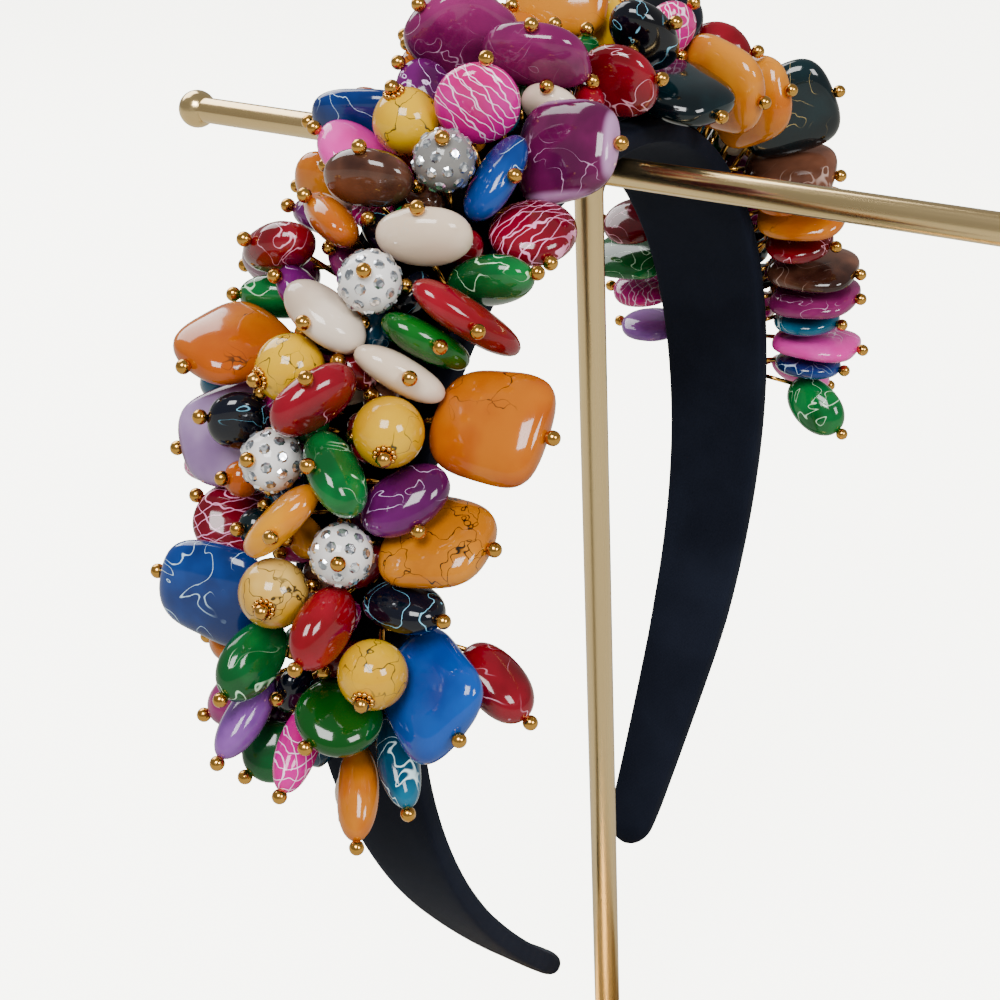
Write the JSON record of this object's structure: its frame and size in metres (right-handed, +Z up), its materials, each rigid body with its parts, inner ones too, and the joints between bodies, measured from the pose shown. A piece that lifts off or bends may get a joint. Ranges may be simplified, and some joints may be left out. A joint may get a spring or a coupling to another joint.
{
  "type": "beaded headband on a t-bar display stand",
  "caption": "Black cloth-wrapped headband covered in glossy mixed-colour stones on gold ball pins, hanging on a plain polished gold T-bar stand.",
  "frame": {"origin": "the middle of the underside of the stand's round base, below the post", "axes": "+Z up along the post, Y along the stand's crossbar, X across it, nearly ear to ear of the headband; the fully beaded leg is on the -X side"},
  "size_m": [0.1688, 0.1922, 0.2468],
  "materials": {
    "band_cloth": "matte",
    "stand_metal": "polished",
    "mixed_stones": "gloss",
    "plum_stone": "gloss",
    "pink_stone": "gloss",
    "lilac_stone": "gloss",
    "blue_stone": "gloss",
    "navy_stone": "gloss",
    "teal_stone": "gloss",
    "green_stone": "gloss",
    "red_stone": "gloss",
    "brown_stone": "gloss",
    "ochre_stone": "gloss",
    "yellow_stone": "gloss",
    "ivory_stone": "gloss",
    "rhinestone_clay": "gloss"
  },
  "bodies": {
    "root": {"amber_slim_oval": "yellow_stone", "band": "band_cloth", "blue_big_nugget": "blue_stone", "blue_crown_nugget": "blue_stone", "blue_leaning_oval": "blue_stone", "blue_side_nugget": "blue_stone", "brown_oval": "brown_stone", "cream_yellow_ball": "yellow_stone", "crimson_big_coin": "red_stone", "crimson_lined_coin": "red_stone", "far_bead_field": "mixed_stones", "green_coin": "green_stone", "green_hanging_oval": "green_stone", "green_lined_oval": "green_stone", "green_side_oval": "green_stone", "green_slim_oval": "green_stone", "grey_ivory_oval": "ivory_stone", "hot_pink_coin": "pink_stone", "ivory_crown_oval": "ivory_stone", "lilac_long_drop": "lilac_stone", "lilac_square_nugget": "lilac_stone", "magenta_drop": "pink_stone", "navy_lined_oval": "navy_stone", "navy_rim_coin": "navy_stone", "near_bead_field": "mixed_stones", "ochre_crackle_nugget": "ochre_stone", "ochre_long_oval": "ochre_stone", "ochre_side_nugget": "ochre_stone", "ochre_square_nugget": "ochre_stone", "plum_flat_nugget": "plum_stone", "plum_rim_nugget": "plum_stone", "plum_top_nugget": "plum_stone", "purple_oval": "plum_stone", "red_hanging_oval": "red_stone", "red_lined_oval": "red_stone", "red_long_oval": "red_stone", "rhinestone_ball_crown": "rhinestone_clay", "rhinestone_ball_lower": "rhinestone_clay", "rhinestone_ball_middle": "rhinestone_clay", "rhinestone_ball_upper": "rhinestone_clay", "stand_base": "stand_metal", "stand_t_bar": "stand_metal", "tan_long_drop": "ochre_stone", "teal_drop": "teal_stone", "white_oval": "ivory_stone", "white_slim_oval": "ivory_stone", "yellow_ball_lower": "yellow_stone", "yellow_ball_middle": "yellow_stone", "yellow_ball_upper": "yellow_stone"}
  },
  "joints": []
}
